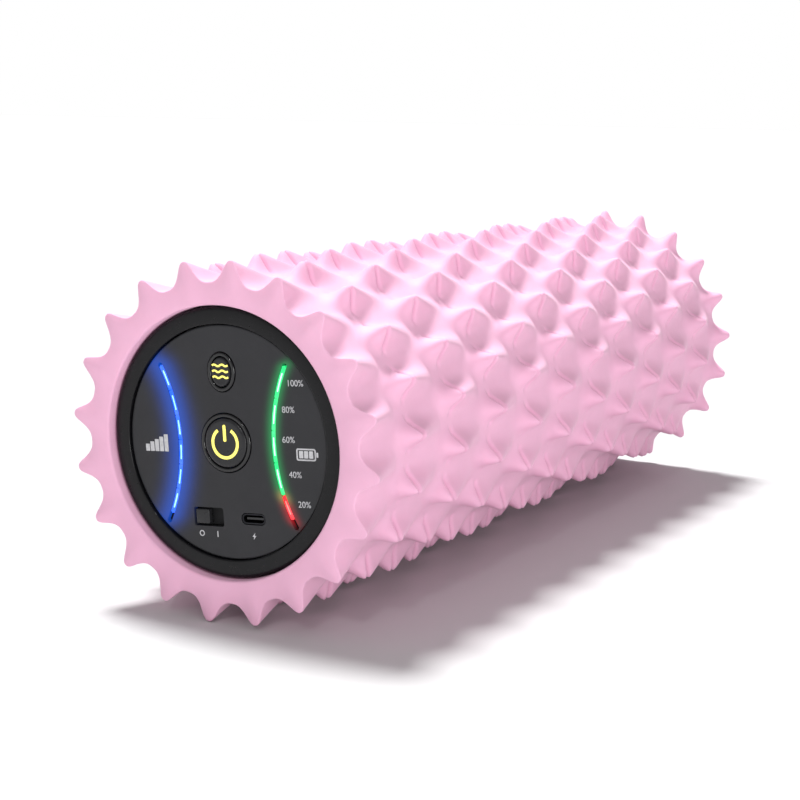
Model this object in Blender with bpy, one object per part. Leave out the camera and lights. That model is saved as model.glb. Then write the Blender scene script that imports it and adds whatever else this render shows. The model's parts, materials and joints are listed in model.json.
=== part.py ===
"""Vibrating foam roller: a toothed foam sleeve on a rigid core that holds a control panel, battery and motor.

Lengths are metres. The roller's axis is Y and its control panel faces -Y. Everything is placed with the
panel upright and then turned about the axis by REST_TURN, the angle at which the teeth settle on a floor.
"""

import math

import bmesh
import bpy

MM = 0.001

# Foam sleeve
RING_COUNT = 11
RING_PITCH = 30.0 * MM
LENGTH = RING_COUNT * RING_PITCH
FRONT = -LENGTH / 2
REAR = LENGTH / 2
TEETH = 20
TOOTH_PITCH = 2 * math.pi / TEETH
POINTS_PER_TOOTH = 4
TIP_RADIUS = 61.0 * MM
VALLEY_RADIUS = 52.8 * MM
TAIL = 0.7  # share of a ring's length over which its teeth sink into the valleys
REST_TURN = -TOOTH_PITCH / 4

# Rigid shell
GAP = 0.3 * MM
ROUND = 40  # facets round the shell
CORE_RADIUS = 45.4 * MM
CORE_INNER = 42.2 * MM
RIM_THICK = 3.7 * MM  # of the housing and of the rear cap
PANEL_RECESS = 3.0 * MM
RIM_FRONT = FRONT + PANEL_RECESS
RIM_BACK = RIM_FRONT + RIM_THICK
SPIGOT_RADIUS = CORE_INNER - GAP
SHELF_FRONT = RIM_FRONT + 15.5 * MM
SHELF_BACK = SHELF_FRONT + 2.5 * MM
SHELF_INNER = 30.0 * MM

# Control panel
PLATE_RADIUS = 39.2 * MM
PLATE_FRONT = RIM_FRONT + 1.0 * MM
PLATE_BACK = PLATE_FRONT + 2.2 * MM
BOARD_FRONT = RIM_FRONT + 10.0 * MM
BOARD_BACK = BOARD_FRONT + 1.6 * MM
BOARD_RADIUS = 36.4 * MM
RING_WIDTH = 1.3 * MM
POWER_HALF = (8.2 * MM, 8.2 * MM)
MODE_HALF = (3.8 * MM, 4.9 * MM)
MODE_Z = 23.5 * MM
BUTTON_PROUD = 0.7 * MM
BUTTON_TRAVEL = 0.8 * MM
STEM_RADIUS = 1.7 * MM
ARC_RADIUS = 57.0 * MM
ARC_NEAREST_X = 18.7 * MM
ARC_TOP = 26.0 * MM
ARC_BOTTOM = -27.5 * MM
ARC_SLOT = 1.8 * MM
ARC_WIDTH = 1.2 * MM
LED_BAR_HALF = 24.0 * MM
LOW_LIGHT_TOP = -16.5 * MM
LOW_LIGHT_BOTTOM = -24.5 * MM
SWITCH_AT = (-9.1 * MM, -25.2 * MM)
SWITCH_HOLE = (12.0 * MM, 6.4 * MM)
KNOB_SIZE = (5.4 * MM, 5.0 * MM)
KNOB_TRAVEL = 5.4 * MM
USB_AT = (8.8 * MM, -25.2 * MM)
USB_SHELL = (9.0 * MM, 3.4 * MM)
USB_WALL = 0.4 * MM

# Chassis, battery and motor
CHASSIS_HALF = -(SHELF_BACK + GAP)
CHASSIS_FLANGE = 3.0 * MM
CHASSIS_RADIUS = 41.4 * MM
PLANK_TOP = -12.0 * MM
PLANK_THICK = 3.0 * MM
PLANK_HALF_WIDTH = 38.0 * MM
CELL_RADIUS = 9.2 * MM
CELL_LENGTH = 65.0 * MM
CELL_SPACING = 19.2 * MM
CELL_Z = PLANK_TOP + 12.1 * MM
CELL_FRONT = FRONT + 40.0 * MM
CELL_BACK = CELL_FRONT + CELL_LENGTH
MOTOR_Z = 11.0 * MM
MOTOR_RADIUS = 17.9 * MM
MOTOR_WALL = 1.3 * MM
MOTOR_CAP_FRONT = 14.0 * MM
MOTOR_CAP_THICK = 3.0 * MM
CAN_FRONT = MOTOR_CAP_FRONT + MOTOR_CAP_THICK + GAP
CAN_BACK = 66.0 * MM
SHAFT_RADIUS = 1.6 * MM
BEARING_RADIUS = 3.4 * MM
WEIGHT_RADIUS = 15.0 * MM
WEIGHT_LENGTH = 12.0 * MM
DAMPER_RADIUS = 20.1 * MM
DAMPER_LENGTH = 10.0 * MM
DAMPER_FRONTS = (CAN_FRONT + 4.0 * MM, CAN_BACK - 4.0 * MM - DAMPER_LENGTH)
CLAMP_THICK = 3.0 * MM
CLAMP_HALF_WIDTH = 31.0 * MM
CLAMP_SCREW_X = 27.2 * MM
LEAD_RADIUS = 1.1 * MM

SCREW_SHANK = 1.3 * MM
SCREW_HOLE = SCREW_SHANK + GAP
SCREW_HEAD = 2.6 * MM
SEAT = 0.05 * MM  # clearance under a screw's head
SHELF_SCREW_RADIUS = 34.5 * MM
SHELF_SCREW_ANGLES = (60, 180, 300)
BOARD_SCREW_RADIUS = 33.5 * MM
BOARD_SCREW_ANGLES = (0, 120, 240)

COLOURS = {
    "foam": ((0.88, 0.50, 0.68), 0.75, 0.0),
    "shell_black": ((0.02, 0.02, 0.022), 0.45, 0.0),
    "panel_black": ((0.035, 0.035, 0.038), 0.35, 0.0),
    "trim_black": ((0.01, 0.01, 0.01), 0.2, 0.0),
    "blue_light": ((0.03, 0.25, 0.95), 0.3, 0.0),
    "green_light": ((0.05, 0.8, 0.3), 0.3, 0.0),
    "red_light": ((0.9, 0.05, 0.05), 0.3, 0.0),
    "steel": ((0.6, 0.6, 0.62), 0.35, 1.0),
    "board_green": ((0.02, 0.16, 0.07), 0.5, 0.0),
    "white_plastic": ((0.8, 0.8, 0.78), 0.5, 0.0),
    "grey_plastic": ((0.25, 0.25, 0.27), 0.55, 0.0),
    "cell_blue": ((0.04, 0.16, 0.45), 0.35, 0.0),
    "magnet": ((0.12, 0.12, 0.13), 0.5, 0.6),
    "copper": ((0.72, 0.32, 0.12), 0.4, 1.0),
    "rubber": ((0.03, 0.03, 0.03), 0.85, 0.0),
    "brass": ((0.78, 0.6, 0.26), 0.35, 1.0),
    "red_wire": ((0.6, 0.03, 0.03), 0.5, 0.0),
}


def clear_scene():
    for obj in list(bpy.data.objects):
        bpy.data.objects.remove(obj)


def material(name):
    """The named finish, made once."""
    found = bpy.data.materials.get(name)
    if found:
        return found
    colour, roughness, metallic = COLOURS[name]
    made = bpy.data.materials.new(name)
    made.use_nodes = True
    shader = made.node_tree.nodes["Principled BSDF"]
    shader.inputs["Base Color"].default_value = (*colour, 1.0)
    shader.inputs["Roughness"].default_value = roughness
    shader.inputs["Metallic"].default_value = metallic
    return made


def add(name, bm, finish, at=(0.0, 0.0, 0.0), smooth=True):
    """An object made of the mesh, whose coordinates are measured from the object's origin."""
    bmesh.ops.recalc_face_normals(bm, faces=bm.faces)
    mesh = bpy.data.meshes.new(name)
    bm.to_mesh(mesh)
    bm.free()
    mesh.materials.append(material(finish))
    if smooth:
        mesh.shade_smooth()
        mesh.set_sharp_from_angle(angle=math.radians(35))
    obj = bpy.data.objects.new(name, mesh)
    obj.location = at
    bpy.context.collection.objects.link(obj)
    return obj


def cut(target, cutter, operation="DIFFERENCE"):
    """A Boolean modifier; the cutter stays in the scene as a hidden helper."""
    cutter.hide_render = True
    cutter.display_type = "WIRE"
    boolean = target.modifiers.new(cutter.name, "BOOLEAN")
    boolean.operation = operation
    boolean.object = cutter
    return boolean


def turned_mesh(profile, steps):
    """A closed outline of (radius, y) points turned about the Y axis."""
    bm = bmesh.new()
    corners = [bm.verts.new((radius, y, 0.0)) for radius, y in profile]
    edges = [bm.edges.new((a, b)) for a, b in zip(corners, corners[1:] + corners[:1])
             if a.co.x > 0 or b.co.x > 0]
    bmesh.ops.spin(bm, geom=corners + edges, cent=(0, 0, 0), axis=(0, 1, 0), angle=2 * math.pi,
                   steps=steps, use_merge=True, use_duplicate=False)
    bmesh.ops.remove_doubles(bm, verts=bm.verts, dist=1e-7)
    return bm


def turned(name, profile, finish, steps=24, at=(0.0, 0.0, 0.0)):
    return add(name, turned_mesh(profile, steps), finish, at)


def prism_mesh(outline, y_front, y_back):
    """A closed outline of (x, z) points pushed along Y."""
    bm = bmesh.new()
    face = bm.faces.new([bm.verts.new((x, y_front, z)) for x, z in outline])
    pushed = bmesh.ops.extrude_face_region(bm, geom=[face])["geom"]
    bmesh.ops.translate(bm, vec=(0, y_back - y_front, 0),
                        verts=[v for v in pushed if isinstance(v, bmesh.types.BMVert)])
    return bm


def prism(name, outline, y_front, y_back, finish, at=(0.0, 0.0, 0.0)):
    return add(name, prism_mesh(outline, y_front, y_back), finish, at)


def box(name, low, high, finish, at=(0.0, 0.0, 0.0)):
    outline = [(low[0], low[2]), (high[0], low[2]), (high[0], high[2]), (low[0], high[2])]
    return add(name, prism_mesh(outline, low[1], high[1]), finish, at, smooth=False)


def ellipse(half_x, half_z, count, centre=(0.0, 0.0)):
    angles = [2 * math.pi * i / count for i in range(count)]
    return [(centre[0] + half_x * math.cos(a), centre[1] + half_z * math.sin(a)) for a in angles]


def rounded_rectangle(size, radius, centre=(0.0, 0.0), per_corner=4):
    points = []
    for quarter, (sx, sz) in enumerate(((1, 1), (-1, 1), (-1, -1), (1, -1))):
        corner = (centre[0] + sx * (size[0] / 2 - radius), centre[1] + sz * (size[1] / 2 - radius))
        for i in range(per_corner):
            angle = math.pi / 2 * (quarter + i / (per_corner - 1))
            points.append((corner[0] + radius * math.cos(angle), corner[1] + radius * math.sin(angle)))
    return points


def light_arc(side, z_low, z_high, width, count=12):
    """The outline of a curved bar whose middle line bulges towards the panel's centre."""
    centre_x = side * (ARC_NEAREST_X + ARC_RADIUS)
    low, high = math.asin(z_low / ARC_RADIUS), math.asin(z_high / ARC_RADIUS)
    angles = [low + (high - low) * i / (count - 1) for i in range(count)]

    def along(radius, order):
        return [(centre_x - side * radius * math.cos(a), radius * math.sin(a)) for a in order]

    return along(ARC_RADIUS - width / 2, angles) + along(ARC_RADIUS + width / 2, angles[::-1])


def on_circle(radius, degrees):
    """(x, z) at this angle from +Z towards +X."""
    return radius * math.sin(math.radians(degrees)), radius * math.cos(math.radians(degrees))


def screw_profile(length, head=SCREW_HEAD, head_height=2.0 * MM):
    """A pan-head screw that points along +Y, its head's underside at y = 0."""
    socket = head * 0.45
    return [(0, -head_height * 0.45), (socket, -head_height * 0.45), (socket, -head_height),
            (head, -head_height), (head, 0), (SCREW_SHANK, 0), (SCREW_SHANK, length), (0, length)]


def screw(name, at, length):
    return turned(name, screw_profile(length), "steel", 10, at)


def rod(name, radius, y_front, y_back, at=(0.0, 0.0), steps=14):
    """A cylinder along Y whose axis passes through (x, z)."""
    return turned(name, [(0, y_front), (radius, y_front), (radius, y_back), (0, y_back)], "steel",
                  steps, (at[0], 0.0, at[1]))


def lofted(name, sections, count, finish, at):
    """A solid through ellipses, each given as (y, half width, half height)."""
    bm = bmesh.new()
    loops = [[bm.verts.new((x, y, z)) for x, z in ellipse(half_x, half_z, count)]
             for y, half_x, half_z in sections]
    for loop, following in zip(loops, loops[1:]):
        for i in range(count):
            j = (i + 1) % count
            bm.faces.new((loop[i], loop[j], following[j], following[i]))
    bm.faces.new(loops[0])
    bm.faces.new(loops[-1][::-1])
    return add(name, bm, finish, at)


def arc_points(radius, start, end, count):
    """(x, z) points on an arc, its angles measured from +X towards +Z."""
    angles = [start + (end - start) * i / (count - 1) for i in range(count)]
    return [(radius * math.cos(a), radius * math.sin(a)) for a in angles]


def band(side, inner, outer, half_degrees, count):
    """The outline of a curved strip centred on the X axis, on this side of the middle."""
    half = math.radians(half_degrees)
    outline = arc_points(inner, -half, half, count) + arc_points(outer, half, -half, count)
    return [(side * x, z) for x, z in outline]


def weight_outline():
    """Half a disc below a small hub."""
    hub = 4.5 * MM
    dip = math.asin(1.5 * MM / WEIGHT_RADIUS)
    return arc_points(WEIGHT_RADIUS, math.pi + dip, 2 * math.pi - dip, 18) + arc_points(hub, 0, math.pi, 8)


# Foam sleeve ------------------------------------------------------------------------------------

def tooth_section(ring, height):
    """(radius, angle) points round one ring, with a crest at each tooth and a round valley between."""
    phase = 0.5 if ring % 2 == 0 else 0.0
    points = []
    for i in range(TEETH * POINTS_PER_TOOTH):
        turn = i / POINTS_PER_TOOTH
        offset = abs(turn - phase - round(turn - phase))
        points.append((VALLEY_RADIUS + height * (1 - 2 * offset) ** 2, turn * TOOTH_PITCH))
    return points


def foam_sleeve():
    """Each ring's teeth are highest at its front and sink behind, where the next ring's rise."""
    height = TIP_RADIUS - VALLEY_RADIUS
    sections = []
    for ring in range(RING_COUNT):
        start = FRONT + ring * RING_PITCH
        sections.append((start, tooth_section(ring, height)))
        sections.append((start + TAIL * RING_PITCH, tooth_section(ring, 0.0)))
    sections.append((REAR, tooth_section(RING_COUNT, height)))
    bore = CORE_RADIUS + GAP
    count = len(sections[0][1])
    bare = [(bore, TOOTH_PITCH * TEETH * i / count) for i in range(count)]
    sections = sections + [(REAR, bare), (FRONT, bare)]
    bm = bmesh.new()
    loops = [[bm.verts.new((radius * math.sin(a), y, radius * math.cos(a))) for radius, a in section]
             for y, section in sections]
    for loop, following in zip(loops, loops[1:] + loops[:1]):
        for i in range(count):
            j = (i + 1) % count
            bm.faces.new((loop[i], loop[j], following[j], following[i]))
    add("foam_sleeve", bm, "foam")


# Rigid shell ------------------------------------------------------------------------------------

def core_tube():
    half = LENGTH / 2 - PANEL_RECESS - RIM_THICK - GAP
    turned("core_tube", [(CORE_INNER, -half), (CORE_RADIUS, -half), (CORE_RADIUS, half), (CORE_INNER, half)],
           "shell_black", ROUND)


def front_housing():
    plate_seat = PLATE_BACK + GAP
    ledge_back = plate_seat + 2.2 * MM
    pocket = SPIGOT_RADIUS - 3.0 * MM
    ledge = pocket - 2.0 * MM
    lip = PLATE_RADIUS + GAP
    housing = turned("front_housing", [
        (lip, RIM_FRONT), (CORE_RADIUS - 0.8 * MM, RIM_FRONT), (CORE_RADIUS, RIM_FRONT + 0.8 * MM),
        (CORE_RADIUS, RIM_BACK), (SPIGOT_RADIUS, RIM_BACK), (SPIGOT_RADIUS, SHELF_BACK),
        (SHELF_INNER, SHELF_BACK), (SHELF_INNER, SHELF_FRONT), (pocket, SHELF_FRONT),
        (pocket, ledge_back), (ledge, ledge_back), (ledge, plate_seat), (lip, plate_seat)],
        "shell_black", ROUND)
    for i, degrees in enumerate(BOARD_SCREW_ANGLES):
        at = on_circle(BOARD_SCREW_RADIUS, degrees)
        post = rod(f"board_post_{i + 1}", 3.0 * MM, BOARD_BACK + GAP, SHELF_FRONT + 1.0 * MM, at)
        cut(housing, post, "UNION")
        cut(housing, rod(f"board_post_hole_{i + 1}", SCREW_HOLE, BOARD_BACK, SHELF_BACK + MM, at))
        screw(f"board_screw_{i + 1}", (at[0], BOARD_FRONT - SEAT, at[1]), 7.0 * MM)
    for i, degrees in enumerate(SHELF_SCREW_ANGLES):
        at = on_circle(SHELF_SCREW_RADIUS, degrees)
        cut(housing, rod(f"shelf_hole_{i + 1}", SCREW_HOLE, SHELF_FRONT - MM, SHELF_BACK + MM, at))
        screw(f"housing_screw_{i + 1}", (at[0], SHELF_FRONT - SEAT, at[1]), 7.5 * MM)


def rear_cap():
    face = REAR - PANEL_RECESS
    rim = face - RIM_THICK
    inner = CHASSIS_HALF + GAP
    hollow = SPIGOT_RADIUS - 3.0 * MM
    cap = turned("rear_cap", [
        (0, face - 3.0 * MM), (hollow, face - 3.0 * MM), (hollow, inner), (SPIGOT_RADIUS, inner),
        (SPIGOT_RADIUS, rim), (CORE_RADIUS, rim), (CORE_RADIUS, face - 0.8 * MM),
        (CORE_RADIUS - 0.8 * MM, face), (0, face)], "shell_black", ROUND)
    sink = face - 2.4 * MM
    for i, degrees in enumerate(SHELF_SCREW_ANGLES):
        at = on_circle(SHELF_SCREW_RADIUS, degrees)
        cut(cap, rod(f"cap_post_{i + 1}", 3.9 * MM, inner, face - MM, at), "UNION")
        hole = [(0, inner - MM), (SCREW_HOLE, inner - MM), (SCREW_HOLE, sink), (SCREW_HEAD + GAP, sink),
                (SCREW_HEAD + GAP, face + MM), (0, face + MM)]
        cut(cap, turned(f"cap_hole_{i + 1}", hole, "steel", 14, (at[0], 0, at[1])))
        made = screw(f"rear_cap_screw_{i + 1}", (at[0], sink + SEAT, at[1]), 20.0 * MM)
        made.rotation_euler.z = math.pi


# Control panel ----------------------------------------------------------------------------------

def face_plate():
    plate = turned("face_plate", [(0, PLATE_FRONT), (PLATE_RADIUS - 0.4 * MM, PLATE_FRONT),
                                  (PLATE_RADIUS, PLATE_FRONT + 0.4 * MM), (PLATE_RADIUS, PLATE_BACK),
                                  (0, PLATE_BACK)], "panel_black", steps=ROUND)
    ring = RING_WIDTH + 2 * GAP
    usb = (USB_SHELL[0] + 2 * GAP, USB_SHELL[1] + 2 * GAP)
    holes = {
        "power_hole": ellipse(POWER_HALF[0] + ring, POWER_HALF[1] + ring, 32),
        "mode_hole": ellipse(MODE_HALF[0] + ring, MODE_HALF[1] + ring, 28, (0, MODE_Z)),
        "speed_slot": light_arc(-1, ARC_BOTTOM, ARC_TOP, ARC_SLOT),
        "battery_slot": light_arc(1, ARC_BOTTOM, ARC_TOP, ARC_SLOT),
        "switch_hole": rounded_rectangle(SWITCH_HOLE, 0.8 * MM, SWITCH_AT),
        "usb_hole": rounded_rectangle(usb, usb[1] * 0.45, USB_AT),
    }
    for name, outline in holes.items():
        cut(plate, prism(name, outline, PLATE_FRONT - 2 * MM, PLATE_BACK + 2 * MM, "steel"))


def light_guides():
    front, back = PLATE_FRONT + 0.3 * MM, PLATE_BACK
    split = 0.4 * MM
    bars = {
        "speed_light_guide": (-1, LOW_LIGHT_BOTTOM, ARC_TOP - GAP, "blue_light"),
        "battery_light_guide": (1, LOW_LIGHT_TOP + split, ARC_TOP - GAP, "green_light"),
        "low_light_guide": (1, LOW_LIGHT_BOTTOM, LOW_LIGHT_TOP - split, "red_light"),
    }
    for name, (side, z_low, z_high, finish) in bars.items():
        prism(name, light_arc(side, z_low, z_high, ARC_WIDTH), front, back, finish)
    for name, side in (("speed_led_bar", -1), ("battery_led_bar", 1)):
        outline = light_arc(side, -LED_BAR_HALF, LED_BAR_HALF, 2.4 * MM)
        prism(name, outline, BOARD_FRONT - 3.0 * MM, BOARD_FRONT - GAP, "white_plastic")


def button(name, half, z, count):
    """A trim ring fixed in the panel, the button that slides in it and the switch that it presses."""
    clear = (half[0] + GAP, half[1] + GAP)
    front, back = PLATE_FRONT - 0.4 * MM, PLATE_BACK + 0.6 * MM
    ring = prism(f"{name}_ring", ellipse(clear[0] + RING_WIDTH, clear[1] + RING_WIDTH, count), front, back,
                 "trim_black", (0, 0, z))
    cut(ring, prism(f"{name}_ring_hole", ellipse(clear[0], clear[1], count), front - MM, back + MM, "steel",
                    (0, 0, z)))
    cap_front = PLATE_FRONT - BUTTON_PROUD
    cap_back = PLATE_BACK + 0.2 * MM
    stem_back = BOARD_FRONT - 2.4 * MM
    lofted(f"{name}_button", [
        (0.0, half[0] * 0.9, half[1] * 0.9), (0.5 * MM, half[0], half[1]),
        (cap_back - cap_front, half[0], half[1]), (cap_back - cap_front, STEM_RADIUS, STEM_RADIUS),
        (stem_back - cap_front, STEM_RADIUS, STEM_RADIUS)], count, "panel_black", (0, cap_front, z))
    switch_front = BOARD_FRONT - 4.3 * MM
    body = box(f"{name}_tact_switch", (-3 * MM, switch_front, z - 3 * MM),
               (3 * MM, BOARD_FRONT - GAP, z + 3 * MM), "steel")
    bore_end = stem_back + BUTTON_TRAVEL + 0.1 * MM
    cut(body, rod(f"{name}_switch_bore", STEM_RADIUS + GAP, switch_front - MM, bore_end, (0, z)))


def slide_switch():
    x, z = SWITCH_AT
    front = PLATE_BACK + 0.5 * MM
    half_x, half_z = SWITCH_HOLE[0] / 2 + 1.0 * MM, SWITCH_HOLE[1] / 2 + 0.3 * MM
    stem = (1.2 * MM, 0.9 * MM)
    body = box("switch_body", (x - half_x, front, z - half_z), (x + half_x, BOARD_FRONT - GAP, z + half_z),
               "shell_black")
    reach = KNOB_TRAVEL / 2 + stem[0] + GAP
    cut(body, box("switch_track", (x - reach, front - MM, z - stem[1] - GAP),
                  (x + reach, front + 2.5 * MM, z + stem[1] + GAP), "steel"))
    knob_front = PLATE_FRONT + 0.2 * MM
    thick = front - GAP - knob_front
    at = (x - KNOB_TRAVEL / 2, knob_front, z)
    knob = box("switch_knob", (-KNOB_SIZE[0] / 2, 0, -KNOB_SIZE[1] / 2),
               (KNOB_SIZE[0] / 2, thick, KNOB_SIZE[1] / 2), "trim_black", at)
    cut(knob, box("knob_stem", (-stem[0], thick - 0.5 * MM, -stem[1]),
                  (stem[0], thick + 2.3 * MM, stem[1]), "steel", at), "UNION")
    for i in (-1, 0, 1):
        groove = i * 1.4 * MM
        cut(knob, box(f"knob_groove_{i + 2}", (groove - 0.3 * MM, -MM, -2.0 * MM),
                      (groove + 0.3 * MM, 0.5 * MM, 2.0 * MM), "steel", at))


def charging_socket():
    front, back = PLATE_FRONT + 0.3 * MM, BOARD_FRONT - GAP
    floor = back - 1.0 * MM
    inner = (USB_SHELL[0] - 2 * USB_WALL, USB_SHELL[1] - 2 * USB_WALL)
    outline, hollow = (rounded_rectangle(size, size[1] * 0.45, USB_AT) for size in (USB_SHELL, inner))
    shell = prism("usb_shell", outline, front, back, "steel")
    cut(shell, prism("usb_cavity", hollow, front - MM, floor, "steel"))
    x, z = USB_AT
    box("usb_tongue", (x - 3.3 * MM, front + 0.9 * MM, z - 0.35 * MM),
        (x + 3.3 * MM, floor - GAP, z + 0.35 * MM), "trim_black")


def control_board():
    board = turned("control_board", [(0, BOARD_FRONT), (BOARD_RADIUS, BOARD_FRONT),
                                     (BOARD_RADIUS, BOARD_BACK), (0, BOARD_BACK)], "board_green", 32)
    for i, degrees in enumerate(BOARD_SCREW_ANGLES):
        at = on_circle(BOARD_SCREW_RADIUS, degrees)
        cut(board, rod(f"board_hole_{i + 1}", SCREW_HOLE, BOARD_FRONT - MM, BOARD_BACK + MM, at))


# Chassis, battery and motor ---------------------------------------------------------------------

def chassis():
    bottom = PLANK_TOP - PLANK_THICK
    frame = box("chassis", (-PLANK_HALF_WIDTH, -CHASSIS_HALF + MM, bottom),
                (PLANK_HALF_WIDTH, CHASSIS_HALF - MM, PLANK_TOP), "grey_plastic")
    for end, outer in (("front", -CHASSIS_HALF), ("rear", CHASSIS_HALF - CHASSIS_FLANGE)):
        cut(frame, rod(f"{end}_flange", CHASSIS_RADIUS, outer, outer + CHASSIS_FLANGE, steps=32), "UNION")
        window = rounded_rectangle((34 * MM, 16 * MM), 4 * MM, (0, 5 * MM))
        cut(frame, prism(f"{end}_window", window, outer - MM, outer + CHASSIS_FLANGE + MM, "steel"))
        for i, degrees in enumerate(SHELF_SCREW_ANGLES):
            at = on_circle(SHELF_SCREW_RADIUS, degrees)
            hole = rod(f"{end}_flange_hole_{i + 1}", SCREW_HOLE, outer - MM, outer + CHASSIS_FLANGE + MM, at)
            cut(frame, hole)
    for i, front in enumerate(DAMPER_FRONTS):
        half = CLAMP_HALF_WIDTH
        saddle = box(f"saddle_{i + 1}", (-half, front, PLANK_TOP - MM),
                     (half, front + DAMPER_LENGTH, MOTOR_Z - GAP), "steel")
        cut(frame, saddle, "UNION")
        cut(frame, rod(f"saddle_bore_{i + 1}", DAMPER_RADIUS + GAP, front - MM, front + DAMPER_LENGTH + MM,
                       (0, MOTOR_Z), steps=32))
        for j, side in enumerate((-1, 1)):
            hole = rod(f"saddle_hole_{i + 1}{j + 1}", SCREW_HOLE, 0, 9 * MM)
            hole.location = (side * CLAMP_SCREW_X, front + DAMPER_LENGTH / 2, MOTOR_Z + MM)
            hole.rotation_euler.x = -math.pi / 2
            cut(frame, hole)


def battery():
    floor = CELL_Z - CELL_RADIUS - GAP
    half_x = CELL_SPACING + CELL_RADIUS + GAP
    front, back = CELL_FRONT - 2.0 * MM, CELL_BACK + 2.0 * MM
    tray = box("battery_tray", (-half_x - 2 * MM, front - 2 * MM, PLANK_TOP + GAP),
               (half_x + 2 * MM, back + 2 * MM, CELL_Z), "shell_black")
    cut(tray, box("tray_hollow", (-half_x, front, floor), (half_x, back, CELL_Z + MM), "steel"))
    radius, nub = CELL_RADIUS, 2.8 * MM
    for i in (-1, 0, 1):
        turned(f"battery_cell_{i + 2}", [
            (0, -0.4 * MM), (nub, -0.4 * MM), (nub, 0.6 * MM), (radius - 0.6 * MM, 0.6 * MM),
            (radius, 1.2 * MM), (radius, CELL_LENGTH - 0.4 * MM), (radius - 0.4 * MM, CELL_LENGTH),
            (0, CELL_LENGTH)], "cell_blue", 16, (i * CELL_SPACING, CELL_FRONT, CELL_Z))
    for end, y in (("front", CELL_FRONT - 1.2 * MM), ("rear", CELL_BACK + 0.4 * MM)):
        box(f"cell_link_{end}", (-CELL_SPACING - 3 * MM, y, CELL_Z - 2.5 * MM),
            (CELL_SPACING + 3 * MM, y + 0.4 * MM, CELL_Z + 2.5 * MM), "brass")
    leg = half_x + 2 * MM + GAP
    top = CELL_Z + CELL_RADIUS + GAP
    middle = (CELL_FRONT + CELL_BACK) / 2
    thick = 1.2 * MM
    outline = [(-leg, PLANK_TOP + GAP), (-leg, top), (leg, top), (leg, PLANK_TOP + GAP),
               (leg + thick, PLANK_TOP + GAP), (leg + thick, top + thick), (-leg - thick, top + thick),
               (-leg - thick, PLANK_TOP + GAP)]
    prism("battery_strap", outline, middle - 8 * MM, middle + 8 * MM, "shell_black")


def motor():
    at = (0, 0, MOTOR_Z)
    inner = MOTOR_RADIUS - MOTOR_WALL
    seat = BEARING_RADIUS + GAP
    cap_back = MOTOR_CAP_FRONT + MOTOR_CAP_THICK
    turned("motor_can", [
        (inner, CAN_FRONT), (MOTOR_RADIUS, CAN_FRONT), (MOTOR_RADIUS, CAN_BACK - 1.5 * MM),
        (MOTOR_RADIUS - 1.5 * MM, CAN_BACK), (seat, CAN_BACK), (seat, CAN_BACK - 2.5 * MM),
        (inner, CAN_BACK - 2.5 * MM)], "steel", 28, at)
    turned("motor_end_cap", [(seat, MOTOR_CAP_FRONT), (MOTOR_RADIUS - MM, MOTOR_CAP_FRONT),
                             (MOTOR_RADIUS, MOTOR_CAP_FRONT + MM), (MOTOR_RADIUS, cap_back),
                             (seat, cap_back)], "shell_black", 28, at)
    for end, front in (("front", MOTOR_CAP_FRONT), ("rear", CAN_BACK - 2.5 * MM)):
        back = front + 2.5 * MM
        turned(f"{end}_bearing", [(SHAFT_RADIUS + GAP, front), (BEARING_RADIUS, front),
                                  (BEARING_RADIUS, back), (SHAFT_RADIUS + GAP, back)], "brass", 14, at)
    for side, name in ((-1, "magnet_left"), (1, "magnet_right")):
        outline = band(side, inner - GAP - 2.4 * MM, inner - GAP, 62, 14)
        prism(name, outline, CAN_FRONT + 6 * MM, CAN_BACK - 8 * MM, "magnet", at)
    drum = inner - GAP - 2.4 * MM - 0.6 * MM
    stack_front, stack_back = CAN_FRONT + 10 * MM, CAN_BACK - 10 * MM
    turned("motor_rotor", [
        (0, MOTOR_CAP_FRONT - 19 * MM), (SHAFT_RADIUS, MOTOR_CAP_FRONT - 19 * MM),
        (SHAFT_RADIUS, CAN_FRONT + MM), (4.5 * MM, CAN_FRONT + MM), (4.5 * MM, stack_front - 1.5 * MM),
        (drum * 0.75, stack_front - 1.5 * MM), (drum, stack_front), (drum, stack_back),
        (drum * 0.75, stack_back + 1.5 * MM), (SHAFT_RADIUS, stack_back + 1.5 * MM),
        (SHAFT_RADIUS, CAN_BACK + 19 * MM), (0, CAN_BACK + 19 * MM)], "copper", 20, at)
    for end, front in (("front", MOTOR_CAP_FRONT - 4 * MM - WEIGHT_LENGTH), ("rear", CAN_BACK + 4 * MM)):
        weight = prism(f"{end}_weight", weight_outline(), front, front + WEIGHT_LENGTH, "brass", at)
        cut(weight, rod(f"{end}_weight_bore", SHAFT_RADIUS + GAP, front - MM, front + WEIGHT_LENGTH + MM,
                        (0, MOTOR_Z)))


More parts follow.
